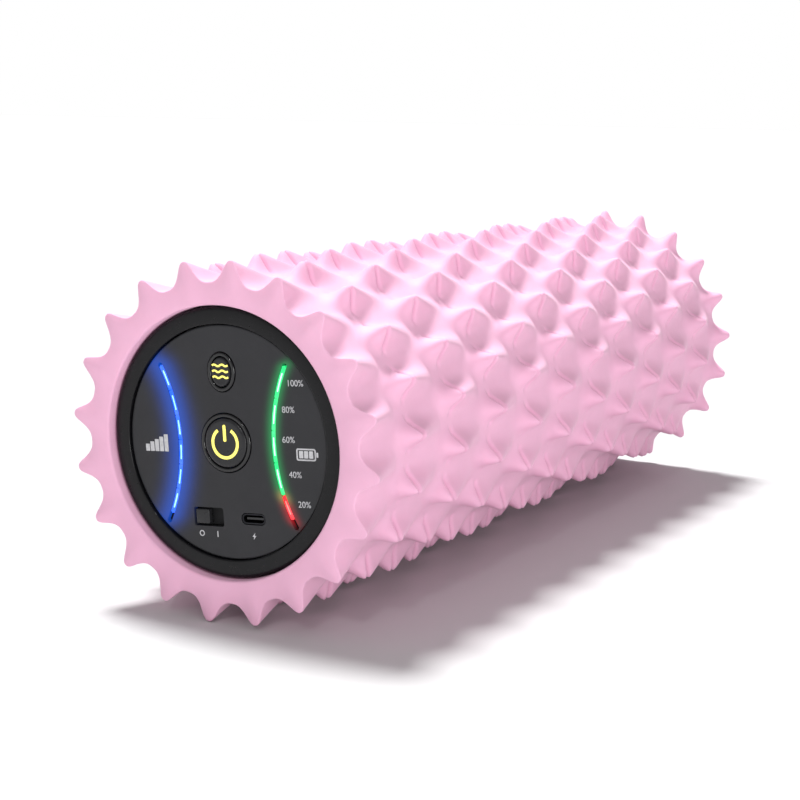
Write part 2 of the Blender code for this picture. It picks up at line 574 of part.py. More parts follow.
def motor_clamps():
    base = GAP
    ear = CLAMP_THICK + base
    bore = DAMPER_RADIUS + GAP
    outer = bore + CLAMP_THICK
    rise_in, rise_out = math.asin(base / bore), math.asin(ear / outer)
    for i, front in enumerate(DAMPER_FRONTS):
        turned(f"motor_damper_{i + 1}", [
            (MOTOR_RADIUS + GAP, front), (DAMPER_RADIUS, front), (DAMPER_RADIUS, front + DAMPER_LENGTH),
            (MOTOR_RADIUS + GAP, front + DAMPER_LENGTH)], "rubber", 28, (0, 0, MOTOR_Z))
        outline = [(CLAMP_HALF_WIDTH, base), (CLAMP_HALF_WIDTH, ear)]
        outline += arc_points(outer, rise_out, math.pi - rise_out, 16)
        outline += [(-CLAMP_HALF_WIDTH, ear), (-CLAMP_HALF_WIDTH, base)]
        outline += arc_points(bore, math.pi - rise_in, rise_in, 16)
        clamp = prism(f"motor_clamp_{i + 1}", outline, front, front + DAMPER_LENGTH, "grey_plastic",
                      (0, 0, MOTOR_Z))
        for j, side in enumerate((-1, 1)):
            x, y = side * CLAMP_SCREW_X, front + DAMPER_LENGTH / 2
            hole = rod(f"clamp_hole_{i + 1}{j + 1}", SCREW_HOLE, -MM, 6 * MM)
            hole.location = (x, y, MOTOR_Z + ear)
            hole.rotation_euler.x = -math.pi / 2
            cut(clamp, hole)
            made = screw(f"clamp_screw_{i + 1}{j + 1}", (x, y, MOTOR_Z + ear + SEAT), 10 * MM)
            made.rotation_euler.x = -math.pi / 2


def leads():
    board = BOARD_BACK + 0.4 * MM
    window = -CHASSIS_HALF + CHASSIS_FLANGE / 2
    lead("battery_lead", [(9 * MM, board, 2 * MM), (9 * MM, window, 5 * MM),
                          (6 * MM, CELL_FRONT - 8 * MM, 8 * MM),
                          (2 * MM, CELL_FRONT - 2.4 * MM, CELL_Z + 2.4 * MM)],
         "red_wire")
    lead("motor_lead", [(-9 * MM, board, 2 * MM), (-9 * MM, window, 5 * MM),
                        (-11 * MM, CELL_FRONT - 2 * MM, 14 * MM), (-12 * MM, CELL_BACK, 14.5 * MM),
                        (-16 * MM, -25 * MM, 27 * MM), (-17 * MM, 4 * MM, 28 * MM),
                        (-9 * MM, MOTOR_CAP_FRONT - 1.6 * MM, 21 * MM)], "trim_black")


def lead(name, points, finish):
    """A wire that runs smoothly through the points."""
    curve = bpy.data.curves.new(name, "CURVE")
    curve.dimensions = "3D"
    curve.bevel_depth = LEAD_RADIUS
    curve.bevel_resolution = 1
    curve.resolution_u = 5
    curve.use_fill_caps = True
    spline = curve.splines.new("BEZIER")
    spline.bezier_points.add(len(points) - 1)
    for knot, point in zip(spline.bezier_points, points):
        knot.co = point
        knot.handle_left_type = knot.handle_right_type = "AUTO"
    curve.materials.append(material(finish))
    obj = bpy.data.objects.new(name, curve)
    bpy.context.collection.objects.link(obj)


def settle():
    """Turns the whole roller about its axis to the angle at which its teeth rest."""
    turn = bpy.data.objects.new("roller", None)
    bpy.context.collection.objects.link(turn)
    for obj in bpy.data.objects:
        if obj is not turn:
            obj.parent = turn
    turn.rotation_euler.y = REST_TURN


clear_scene()
foam_sleeve()
core_tube()
front_housing()
rear_cap()
face_plate()
light_guides()
button("power", POWER_HALF, 0.0, 32)
button("mode", MODE_HALF, MODE_Z, 28)
slide_switch()
charging_socket()
control_board()
chassis()
battery()
motor()
motor_clamps()
leads()
settle()
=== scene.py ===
"""The looks of the vibrating foam roller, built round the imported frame.

Lengths are metres. The control panel is laid out upright, x to the right and z up, and then turned about the
roller's axis with the rest of the core.
"""

import json
import math

import bmesh
import bpy
import numpy as np
from mathutils import Matrix, Vector


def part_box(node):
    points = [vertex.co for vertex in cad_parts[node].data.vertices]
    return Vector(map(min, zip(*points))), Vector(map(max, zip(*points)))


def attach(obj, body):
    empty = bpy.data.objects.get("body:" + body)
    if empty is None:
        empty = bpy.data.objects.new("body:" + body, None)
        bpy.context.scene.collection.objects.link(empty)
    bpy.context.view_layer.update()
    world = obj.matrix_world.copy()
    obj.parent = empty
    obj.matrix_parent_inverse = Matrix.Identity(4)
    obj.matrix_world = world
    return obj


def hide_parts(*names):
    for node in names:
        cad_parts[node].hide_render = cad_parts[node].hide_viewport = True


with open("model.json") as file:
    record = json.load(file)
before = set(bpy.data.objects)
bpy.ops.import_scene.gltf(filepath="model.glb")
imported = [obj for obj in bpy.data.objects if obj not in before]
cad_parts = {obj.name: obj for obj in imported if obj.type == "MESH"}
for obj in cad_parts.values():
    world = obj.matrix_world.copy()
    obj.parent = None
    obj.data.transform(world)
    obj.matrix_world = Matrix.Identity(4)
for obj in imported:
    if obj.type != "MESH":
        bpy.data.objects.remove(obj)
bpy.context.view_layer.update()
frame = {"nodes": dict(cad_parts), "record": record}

MM = 0.001

# Foam sleeve
RINGS = 11
TEETH = 20
PITCH = 2 * math.pi / TEETH
REST_TURN = -PITCH / 4
FRONT, REAR = (corner.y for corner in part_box("foam_sleeve"))
RING_LENGTH = (REAR - FRONT) / RINGS
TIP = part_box("foam_sleeve")[1].z / math.cos(REST_TURN)
VALLEY_DEPTH = 7.6 * MM
BORE_RADIUS = 45.7 * MM
TAIL = 0.78  # share of a ring's length at which its crests have sunk into the valleys
TIP_ROUND = 0.145  # rounding of a tooth's point, in pitches
NOSE = 0.40  # share of a ring's length that a tooth's domed front takes
CREASE_DEPTH = 0.12  # crease across each tooth where its nose meets its tail, in pitches
CREASE_HALF = 0.03  # in ring lengths
VALLEY_ROUND = 0.94  # how nearly the valley between two teeth is a half circle, which 1 is
FLANK_POWER = 1.25  # above 1, a tooth's flanks are more hollow
EDGE_ROUND = 0.7 * MM
POINTS_PER_TOOTH = 26
ROWS_PER_RING = 30
ROW_CROWDING = 0.85  # 0 spaces a ring's rows evenly, and near 1 they crowd at its creases

# Core
CORE_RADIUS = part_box("front_housing")[1].x
RIM_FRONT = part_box("front_housing")[0].y
PLATE_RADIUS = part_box("face_plate")[1].x
PLATE_FRONT, PLATE_BACK = (corner.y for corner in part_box("face_plate"))
GAP = 0.3 * MM
RIM_LENGTH = 3.7 * MM
SPIGOT_RADIUS = CORE_RADIUS - 3.5 * MM
SPIGOT_WALL = 3 * MM
SEAT_WIDTH = 2.6 * MM  # ledge behind the face plate
SEAT_BACK = PLATE_BACK + 2.5 * MM
CAP_DEPTH = 3 * MM  # thickness of the rear cap's end wall
CAP_GROOVE = (38.9 * MM, 39.6 * MM)  # inner and outer radius
CAP_GROOVE_DEPTH = 0.7 * MM
CAP_RECESS = (13.4 * MM, 14.0 * MM)  # radius at the bottom and at the top
CAP_RECESS_DEPTH = 0.5 * MM
WELL_RADIUS = 3.0 * MM
WELL_MOUTH = 3.6 * MM
WELL_DEPTH = 2.9 * MM
SCREW_HEAD_RADIUS = 2.6 * MM
SCREW_HEAD_HEIGHT = 2.0 * MM
SCREW_SOCKET_RADIUS = 1.15 * MM
SCREW_SOCKET_DEPTH = 1.0 * MM

# Panel layout
POWER_HALF = (8.2 * MM, 8.2 * MM)
MODE_HALF = (3.8 * MM, 4.9 * MM)
MODE_Z = 23.5 * MM
RING_WIDTH = 1.3 * MM
STEM_RADIUS = 1.7 * MM
ARC_RADIUS = 57.0 * MM
ARC_NEAREST_X = 18.7 * MM
ARC_TOP = 26.0 * MM
ARC_BOTTOM = -27.5 * MM
ARC_SLOT = 1.8 * MM
ARC_WIDTH = 1.5 * MM
LIT_TOP = ARC_TOP - 0.5 * MM
GREEN_BOTTOM = -16.5 * MM
RED_TOP = -16.9 * MM
LIT_BOTTOM = -24.5 * MM
SEGMENT_GAP = 0.55 * MM
SWITCH_AT = (-9.1 * MM, -25.2 * MM)
SWITCH_HOLE = (12.0 * MM, 6.4 * MM)
SWITCH_KNOB = (5.4 * MM, 5.0 * MM)
SWITCH_TRAVEL = 5.4 * MM
USB_AT = (8.8 * MM, -25.2 * MM)
USB_HOLE = (9.6 * MM, 4.0 * MM)
PRINT = 0.06 * MM  # thickness of the printed marks
SYMBOL = 0.14 * MM  # thickness of the inlaid symbols on the keys
MARKS_Z = -30.9 * MM  # row of marks under the switch and the socket

TURN = Matrix.Rotation(REST_TURN, 4, "Y")

# Camera and light
AZIMUTH, ELEVATION, ROLL = math.radians(29.3), math.radians(9.7), math.radians(0.75)
CAMERA_DISTANCE = 567.83 * MM  # from the middle of the front face, along the view
CAMERA_RIGHT = 59.127 * MM
CAMERA_UP = 14.662 * MM
SENSOR, LENS = 36.0, 78.165
WORLD_LIGHT = 0.42  # what the white surroundings give; the camera sees them as 1
KEY_FROM = (-0.33, 0.17, 0.93)
KEY_STRENGTH = 5.0
KEY_ANGLE = math.radians(14)
FLOOR_HALF = 12.0


# Materials --------------------------------------------------------------------------------------

class Finish:
    """A Principled material whose colour, roughness and bump come from nodes on object coordinates."""

    def __init__(self, name, roughness=0.5, metallic=0.0, **constants):
        self.material = bpy.data.materials.new(name)
        self.material.use_nodes = True
        self.tree = self.material.node_tree
        self.shader = self.tree.nodes["Principled BSDF"]
        self.shader.inputs["Roughness"].default_value = roughness
        self.shader.inputs["Metallic"].default_value = metallic
        for socket, value in constants.items():
            self.shader.inputs[socket.replace("_", " ")].default_value = value
        self.place = self.node("ShaderNodeTexCoord").outputs["Object"]

    def node(self, kind, **settings):
        made = self.tree.nodes.new(kind)
        for name, value in settings.items():
            setattr(made, name, value)
        return made

    def link(self, source, target):
        self.tree.links.new(source, target)

    def noise(self, scale, detail=4.0, roughness=0.55, stretch=None):
        made = self.node("ShaderNodeTexNoise")
        made.inputs["Scale"].default_value = scale
        made.inputs["Detail"].default_value = detail
        made.inputs["Roughness"].default_value = roughness
        if stretch:
            mapping = self.node("ShaderNodeMapping")
            mapping.inputs["Scale"].default_value = stretch
            self.link(self.place, mapping.inputs["Vector"])
            self.link(mapping.outputs["Vector"], made.inputs["Vector"])
        else:
            self.link(self.place, made.inputs["Vector"])
        return made.outputs["Fac"]

    def ramp(self, source, stops):
        made = self.node("ShaderNodeValToRGB")
        elements = made.color_ramp.elements
        while len(elements) < len(stops):
            elements.new(0.5)
        for element, (position, colour) in zip(elements, stops):
            element.position = position
            element.color = (*colour, 1.0)
        self.link(source, made.inputs["Fac"])
        return made.outputs["Color"]

    def spread(self, source, low, high):
        """The 0.3 to 0.7 part of a noise, mapped to the range low to high."""
        made = self.node("ShaderNodeMapRange")
        for name, value in (("From Min", 0.3), ("From Max", 0.7), ("To Min", low), ("To Max", high)):
            made.inputs[name].default_value = value
        self.link(source, made.inputs["Value"])
        return made.outputs["Result"]

    def bump(self, *layers):
        """Layers of (height, strength, distance), one on top of another."""
        normal = None
        for height, strength, distance in layers:
            made = self.node("ShaderNodeBump")
            made.inputs["Strength"].default_value = strength
            made.inputs["Distance"].default_value = distance
            self.link(height, made.inputs["Height"])
            if normal:
                self.link(normal, made.inputs["Normal"])
            normal = made.outputs["Normal"]
        self.link(normal, self.shader.inputs["Normal"])

    def colour(self, source):
        self.link(source, self.shader.inputs["Base Color"])

    def roughness(self, source):
        self.link(source, self.shader.inputs["Roughness"])


def shaded(colour, amount):
    return tuple(min(1.0, channel * amount) for channel in colour)


def foam():
    """Moulded closed-cell foam: cloudy colour, painted shade that darkens it in the hollows and creases, and
    a fine grain of cells.
    """
    made = Finish("foam", 0.62, Specular_IOR_Level=0.32, Subsurface_Weight=0.06, Subsurface_Scale=0.004,
                  Sheen_Weight=0.12, Sheen_Roughness=0.5)
    made.shader.inputs["Subsurface Radius"].default_value = (1.0, 0.45, 0.55)
    pink = (0.80, 0.44, 0.605)
    cloud = made.noise(55, 5, 0.6)
    clouded = made.ramp(cloud, [(0.3, shaded(pink, 0.955)), (0.55, pink), (0.8, shaded(pink, 1.03))])
    # Painted shade: ambient occlusion darkens the foam's colour in the valleys and in the creases across the
    # teeth.
    hollow = made.node("ShaderNodeAmbientOcclusion", samples=8)
    hollow.inputs["Distance"].default_value = 4 * MM
    painted_hollow_shade = made.ramp(hollow.outputs["AO"], [(0.15, (0.42, 0.27, 0.35)), (0.65, (1.0, 1.0, 1.0))])
    both = made.node("ShaderNodeMix", data_type="RGBA", blend_type="MULTIPLY")
    both.inputs["Factor"].default_value = 1.0
    made.link(clouded, both.inputs["A"])
    made.link(painted_hollow_shade, both.inputs["B"])
    made.colour(both.outputs["Result"])
    made.roughness(made.spread(made.noise(900, 3), 0.55, 0.70))
    cells = made.node("ShaderNodeTexVoronoi")
    cells.inputs["Scale"].default_value = 2600
    made.link(made.place, cells.inputs["Vector"])
    made.bump((made.noise(240, 3, 0.5), 0.10, 0.0004), (cells.outputs["Distance"], 0.12, 0.00012))
    return made.material


def moulded(name, colour, roughness, grain=0.12, coat=0.0):
    """Moulded plastic with a fine spark-eroded texture."""
    made = Finish(name, roughness, Coat_Weight=coat, Coat_Roughness=0.08, Specular_IOR_Level=0.25)
    made.colour(made.ramp(made.noise(70, 4), [(0.3, shaded(colour, 0.86)), (0.7, shaded(colour, 1.12))]))
    made.roughness(made.spread(made.noise(420, 5), roughness - 0.05, roughness + 0.07))
    made.bump((made.noise(3200, 2), grain, 0.00005), (made.noise(90, 3), grain * 0.4, 0.0002))
    return made.material


def metal(name, colour, roughness, stretch=(1, 1, 1)):
    """Plated or turned metal with fine tool marks."""
    made = Finish(name, roughness, 1.0)
    made.colour(made.ramp(made.noise(160, 5), [(0.3, shaded(colour, 0.85)), (0.7, shaded(colour, 1.08))]))
    made.roughness(made.spread(made.noise(500, 4, stretch=stretch), roughness - 0.08, roughness + 0.12))
    made.bump((made.noise(1500, 3, stretch=stretch), 0.15, 0.00004))
    return made.material


def lamp(name, colour, strength):
    """A lit light guide, unevenly bright."""
    made = Finish(name, 0.3, Emission_Strength=strength)
    spots = made.noise(260, 2, 0.4)
    hot = tuple(0.06 + 0.94 * channel for channel in colour)
    made.link(made.ramp(spots, [(0.42, colour), (0.62, hot)]), made.shader.inputs["Emission Color"])
    made.colour(made.ramp(spots, [(0.3, shaded(colour, 0.7)), (0.7, colour)]))
    return made.material


def print_ink(name, colour, strength):
    """Screen-printed ink, a little uneven, with painted light: the ink's colour is also given as emission."""
    made = Finish(name, 0.5, Emission_Strength=strength)
    ink_colour_and_painted_light = made.ramp(made.noise(900, 4), [(0.3, shaded(colour, 0.78)), (0.65, colour)])
    made.colour(ink_colour_and_painted_light)
    # Painted light: the ink's colour is also emitted, so the print shows brighter than the lights make it.
    made.link(ink_colour_and_painted_light, made.shader.inputs["Emission Color"])
    made.bump((made.noise(2400, 2), 0.1, 0.00003))
    return made.material


def panel_face():
    """Satin panel plastic with painted light from the two light bars: emission on its surface that fades away
    from each bar.
    """
    made = Finish("panel_face", 0.4, Coat_Weight=0.05, Coat_Roughness=0.25, Specular_IOR_Level=0.25,
                  Emission_Strength=1.0)
    grey = (0.024, 0.024, 0.027)
    made.colour(made.ramp(made.noise(60, 4), [(0.3, shaded(grey, 0.9)), (0.7, shaded(grey, 1.1))]))
    made.roughness(made.spread(made.noise(380, 5), 0.36, 0.48))
    made.bump((made.noise(2800, 2), 0.10, 0.00004))
    upright = made.node("ShaderNodeVectorRotate", rotation_type="Y_AXIS")
    upright.inputs["Angle"].default_value = -REST_TURN
    made.link(made.place, upright.inputs["Vector"])
    axes = made.node("ShaderNodeSeparateXYZ")
    made.link(upright.outputs["Vector"], axes.inputs["Vector"])
    top = LIT_TOP - 0.5 * MM
    # Painted light from the blue, green and red bars, given to the panel as emission.
    painted_light_pools = [
        glow(made, axes, -1, top, LIT_BOTTOM, (0.0, 0.12, 0.9), 10.0 * MM, 0.5),
        glow(made, axes, 1, top, GREEN_BOTTOM - 0.5 * MM, (0.0, 0.60, 0.14), 4.6 * MM, 0.42),
        glow(made, axes, 1, RED_TOP - 0.6 * MM, LIT_BOTTOM, (0.8, 0.01, 0.02), 4.2 * MM, 0.45),
    ]
    total = painted_light_pools[0]
    for more in painted_light_pools[1:]:
        both = made.node("ShaderNodeVectorMath", operation="ADD")
        made.link(total, both.inputs[0])
        made.link(more, both.inputs[1])
        total = both.outputs["Vector"]
    made.link(total, made.shader.inputs["Emission Color"])
    return made.material


def maths(finish, operation, *values):
    """The output of a Math node. Each value is a number or another node's output."""
    made = finish.node("ShaderNodeMath", operation=operation)
    for socket, value in zip(made.inputs, values):
        if isinstance(value, (int, float)):
            socket.default_value = value
        else:
            finish.link(value, socket)
    return made.outputs["Value"]


def glow(finish, axes, side, z_high, z_low, colour, reach, strength):
    """Painted light: emission that fades with distance from the stretch of a light bar between two heights.
    """
    x, z = axes.outputs["X"], axes.outputs["Z"]
    from_centre_x = maths(finish, "SUBTRACT", x, side * (ARC_NEAREST_X + ARC_RADIUS))
    radius = maths(finish, "SQRT", maths(finish, "ADD", maths(finish, "POWER", from_centre_x, 2.0),
                                         maths(finish, "POWER", z, 2.0)))
    across = maths(finish, "SUBTRACT", radius, ARC_RADIUS)
    above = maths(finish, "MAXIMUM", maths(finish, "SUBTRACT", z, z_high),
                  maths(finish, "SUBTRACT", z_low, z))
    beyond = maths(finish, "MAXIMUM", above, 0.0)
    square = maths(finish, "ADD", maths(finish, "POWER", across, 2.0), maths(finish, "POWER", beyond, 2.0))
    near = maths(finish, "EXPONENT", maths(finish, "DIVIDE", square, -(reach * 0.5) ** 2))
    made = finish.node("ShaderNodeVectorMath", operation="SCALE")
    made.inputs[0].default_value = tuple(channel * strength for channel in colour)
    finish.link(near, made.inputs["Scale"])
    return made.outputs["Vector"]


def floor_finish():
    made = Finish("floor", 0.75)
    made.colour(made.ramp(made.noise(3, 2), [(0.3, (0.545, 0.545, 0.55)), (0.7, (0.565, 0.565, 0.565))]))
    return made.material


# Mesh helpers -----------------------------------------------------------------------------------

def piece(name, points, faces, finish, body, replaced=(), turn=True, sharp=35):
    """An object that rides its body and stands for its CAD nodes, turned with the core unless turn is off."""
    mesh = bpy.data.meshes.new(name)
    mesh.from_pydata(points, [], faces)
    bm = bmesh.new()
    bm.from_mesh(mesh)
    bmesh.ops.remove_doubles(bm, verts=bm.verts, dist=1e-7)
    bmesh.ops.recalc_face_normals(bm, faces=bm.faces)
    bm.to_mesh(mesh)
    bm.free()
    if turn:
        mesh.transform(TURN)
    mesh.materials.append(finish)
    mesh.shade_smooth()
    mesh.set_sharp_from_angle(angle=math.radians(sharp))
    obj = bpy.data.objects.new(name, mesh)
    bpy.context.collection.objects.link(obj)
    if body:
        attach(obj, body)
    if replaced:
        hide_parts(*replaced)
    return obj


def lathe(profile, steps, at=(0.0, 0.0)):
    """Points and faces of a closed (radius, y) outline turned about an axis along Y."""
    points, faces = [], []
    for i in range(steps):
        angle = 2 * math.pi * i / steps
        for radius, y in profile:
            points.append((at[0] + radius * math.cos(angle), y, at[1] + radius * math.sin(angle)))
    rows = len(profile)
    for i in range(steps):
        following = (i + 1) % steps
        for j in range(rows):
            k = (j + 1) % rows
            if profile[j][0] == 0 and profile[k][0] == 0:
                continue
            faces.append((i * rows + j, i * rows + k, following * rows + k, following * rows + j))
    return points, faces


def slab(outline, front, back):
    """Points and faces of a closed (x, z) outline given a thickness along Y."""
    count = len(outline)
    points = [(x, front, z) for x, z in outline] + [(x, back, z) for x, z in outline]
    faces = [tuple(range(count)), tuple(range(2 * count - 1, count - 1, -1))]
    faces += [(i, (i + 1) % count, (i + 1) % count + count, i + count) for i in range(count)]
    return points, faces


def joined(parts):
    """Several (points, faces) as one."""
    points, faces = [], []
    for more_points, more_faces in parts:
        start = len(points)
        points += more_points
        faces += [tuple(start + i for i in face) for face in more_faces]
    return points, faces


def ellipse(half_x, half_z, count, centre=(0.0, 0.0)):
    angles = [2 * math.pi * i / count for i in range(count)]
    return [(centre[0] + half_x * math.cos(a), centre[1] + half_z * math.sin(a)) for a in angles]


def rounded_rectangle(size, radius, centre=(0.0, 0.0)):
    per_corner = 6
    points = []
    for quarter, (sx, sz) in enumerate(((1, 1), (-1, 1), (-1, -1), (1, -1))):
        corner = (centre[0] + sx * (size[0] / 2 - radius), centre[1] + sz * (size[1] / 2 - radius))
        for i in range(per_corner):
            angle = math.pi / 2 * (quarter + i / (per_corner - 1))
            points.append((corner[0] + radius * math.cos(angle), corner[1] + radius * math.sin(angle)))
    return points


def light_arc(side, z_low, z_high, width, count=40):
    """The outline of a bar curved as the panel's arcs are, on the left (-1) or right (1), with blunt ends."""
    centre_x = side * (ARC_NEAREST_X + ARC_RADIUS)
    low, high = math.asin(z_low / ARC_RADIUS), math.asin(z_high / ARC_RADIUS)
    angles = [low + (high - low) * i / (count - 1) for i in range(count)]

    def at(radius, angle):
        return centre_x - side * radius * math.cos(angle), radius * math.sin(angle)

    half = width / 2
    end = half * 0.6 / ARC_RADIUS
    return [*(at(ARC_RADIUS - half, a) for a in angles), at(ARC_RADIUS, angles[-1] + end),
            *(at(ARC_RADIUS + half, a) for a in reversed(angles)), at(ARC_RADIUS, angles[0] - end)]


def ribbon(path, width):
    """The outline of a stroke of even width along an open path of (x, z) points."""
    left, right = [], []
    for i, (x, z) in enumerate(path):
        ax, az = path[max(i - 1, 0)]
        bx, bz = path[min(i + 1, len(path) - 1)]
        length = math.hypot(bx - ax, bz - az)
        nx, nz = -(bz - az) / length * width / 2, (bx - ax) / length * width / 2
        left.append((x + nx, z + nz))
        right.append((x - nx, z - nz))
    return left + right[::-1]


def arc(centre, radius, start, end, count):
    """Points along a circle between two angles in degrees."""
    angles = [math.radians(start + (end - start) * i / (count - 1)) for i in range(count)]
    return [(centre[0] + radius * math.cos(a), centre[1] + radius * math.sin(a)) for a in angles]


def carve(obj, *cutters):
    """Exact Boolean cuts, applied."""
    for points, faces in cutters:
        tool = piece("cutter", points, faces, obj.data.materials[0], None)
        boolean = obj.modifiers.new("cut", "BOOLEAN")
        boolean.solver = "EXACT"
        boolean.object = tool
        apply_modifiers(obj)
        bpy.data.objects.remove(tool)


def evaluated_mesh(obj):
    bpy.context.view_layer.update()
    return bpy.data.meshes.new_from_object(obj.evaluated_get(bpy.context.evaluated_depsgraph_get()))


def apply_modifiers(obj):
    result = evaluated_mesh(obj)
    obj.modifiers.clear()
    obj.data = result


def soften_edges(obj, width, segments, angle_limit=30):
    """A small rounding of every edge sharper than the limit, in degrees."""
    soften = obj.modifiers.new("edges", "BEVEL")
    soften.width = width
    soften.segments = segments
    soften.limit_method = "ANGLE"
    soften.angle_limit = math.radians(angle_limit)
    apply_modifiers(obj)
    obj.data.set_sharp_from_angle(angle=math.radians(35))


def flat_ends(obj):
    """Flat shading for the faces square to the roller's axis, so that holes leave no streaks on them."""
    for face in obj.data.polygons:
        face.use_smooth = face.use_smooth and abs(face.normal.y) < 0.999


# Foam sleeve ------------------------------------------------------------------------------------

def tooth(distance):
    """Height, 0 in a round valley to 1 at the blunt point, this many pitches from the point's middle."""
    offset = np.cbrt(np.minimum(distance, 0.5) ** 3 + TIP_ROUND ** 3)
    across = np.clip((0.5 - offset) / (0.5 - TIP_ROUND), 0, 1)
    rise = (1 - np.sqrt(1 - (VALLEY_ROUND * across) ** 2)) / (1 - math.sqrt(1 - VALLEY_ROUND ** 2))
    return rise ** FLANK_POWER


def sleeve_radius(turn, rings):
    """Radius at an angle in pitches and a distance from the front in rings."""
    ring = np.minimum(np.floor(rings), RINGS - 1)
    part = rings - ring
    phase = 0.5 * (ring % 2)
    # Distances from this ring's crests, which sink towards the rear, and from the next ring's domed noses
    own, following = (np.abs(offset - np.round(offset)) for offset in (turn - phase - 0.5, turn - phase))
    into, before = np.exp(-(part / CREASE_HALF) ** 2), np.exp(-((1 - part) / CREASE_HALF) ** 2)
    own = own + np.where(ring == 0, 0.0, CREASE_DEPTH * into)
    following = np.hypot(following, 0.5 * (1 - part) / NOSE)
    following = following + np.where(ring == RINGS - 1, 0.0, CREASE_DEPTH * before)
    height = np.maximum(tooth(own) * np.clip(1 - part / TAIL, 0, 1), tooth(following))
    return TIP - VALLEY_DEPTH * (1 - height)


def foam_sleeve():
    """The toothed outside, the bore and the rounded rims as one closed grid of quads."""
    around = TEETH * POINTS_PER_TOOTH
    angles = np.arange(around) * 2 * math.pi / around
    spacing = np.linspace(0, 1, ROWS_PER_RING + 1)
    spacing = spacing - ROW_CROWDING * np.sin(2 * math.pi * spacing) / (2 * math.pi)
    rows = np.append((np.arange(RINGS)[:, None] + spacing[None, :-1]).ravel(), RINGS)
    turn, rings = np.meshgrid(angles / PITCH, rows)
    radius = sleeve_radius(turn, rings)
    y = FRONT + rings * RING_LENGTH
    # The front and rear rims are rounded over.
    depths = EDGE_ROUND * np.array([0.0, 0.12, 0.4, 1.0])
    drops = EDGE_ROUND * np.array([0.75, 0.35, 0.08, 0.0])
    for edge, inward, rim_rows in ((FRONT, 1, range(4)), (REAR, -1, range(-1, -5, -1))):
        for row, depth, drop in zip(rim_rows, depths, drops):
            y[row] = edge + inward * depth
            radius[row] -= drop
    # Radius and depth of the points that round each end of the bore
    lips = [(BORE_RADIUS + 0.9 * MM, 0.0), (BORE_RADIUS + 0.3 * MM, 0.25 * MM), (BORE_RADIUS, 0.9 * MM)]
    front = [(np.full(around, r), np.full(around, FRONT + depth)) for r, depth in reversed(lips)]
    rear = [(np.full(around, r), np.full(around, REAR - depth)) for r, depth in lips]
    all_radii = np.vstack([r for r, _ in front] + [radius] + [r for r, _ in rear])
    all_y = np.vstack([d for _, d in front] + [y] + [d for _, d in rear])
    theta = np.tile(angles, (len(all_radii), 1))
    points = np.stack([all_radii * np.sin(theta), all_y, all_radii * np.cos(theta)], -1).reshape(-1, 3)
    count = len(all_radii)
    i, j = np.meshgrid(np.arange(count), np.arange(around), indexing="ij")
    here, across = i * around + j, i * around + (j + 1) % around
    up, up_across = (here + around) % (count * around), (across + around) % (count * around)
    faces = np.stack([here, across, up_across, up], -1).reshape(-1, 4)
    sleeve = piece("foam_skin", points.tolist(), faces.tolist(), foam(), "shell", ["foam_sleeve"],
                   sharp=55)


# Core and caps ----------------------------------------------------------------------------------

def fillet(corner, start, end, radius):
    """Points that round a corner of an outline between the directions to start and to end."""
    corner, start, end = Vector(corner), Vector(start), Vector(end)
    a = corner + (start - corner).normalized() * radius
    b = corner + (end - corner).normalized() * radius
    return [tuple(a * (1 - t) ** 2 + corner * 2 * t * (1 - t) + b * t ** 2)
            for t in (0.0, 0.25, 0.5, 0.75, 1.0)]


def smooth_outline(corners):
    """An outline of (radius, y, rounding) corners with each one rounded."""
    points = []
    for i, (radius, y, rounding) in enumerate(corners):
        before, after = corners[i - 1], corners[(i + 1) % len(corners)]
        if rounding:
            points += fillet((radius, y), before[:2], after[:2], rounding)
        else:
            points.append((radius, y))
    return points


def front_housing(finish):
    """The rim round the panel, the spigot behind it and the seat that the face plate lies on."""
    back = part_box("front_housing")[1].y
    lip, bore = PLATE_RADIUS + GAP, SPIGOT_RADIUS - SPIGOT_WALL
    rim_back = RIM_FRONT + RIM_LENGTH
    outline = smooth_outline([
        (lip, RIM_FRONT, 0.5 * MM), (CORE_RADIUS, RIM_FRONT, 1.4 * MM), (CORE_RADIUS, rim_back, 0.3 * MM),
        (SPIGOT_RADIUS, rim_back, 0.2 * MM), (SPIGOT_RADIUS, back, 0.3 * MM), (bore, back, 0.3 * MM),
        (bore, SEAT_BACK, 0.2 * MM), (lip - SEAT_WIDTH, SEAT_BACK, 0.2 * MM),
        (lip - SEAT_WIDTH, PLATE_BACK + GAP, 0.2 * MM), (lip, PLATE_BACK + GAP, 0)])
    housing = piece("housing_rim", *lathe(outline, 160), finish, "shell", ["front_housing"])


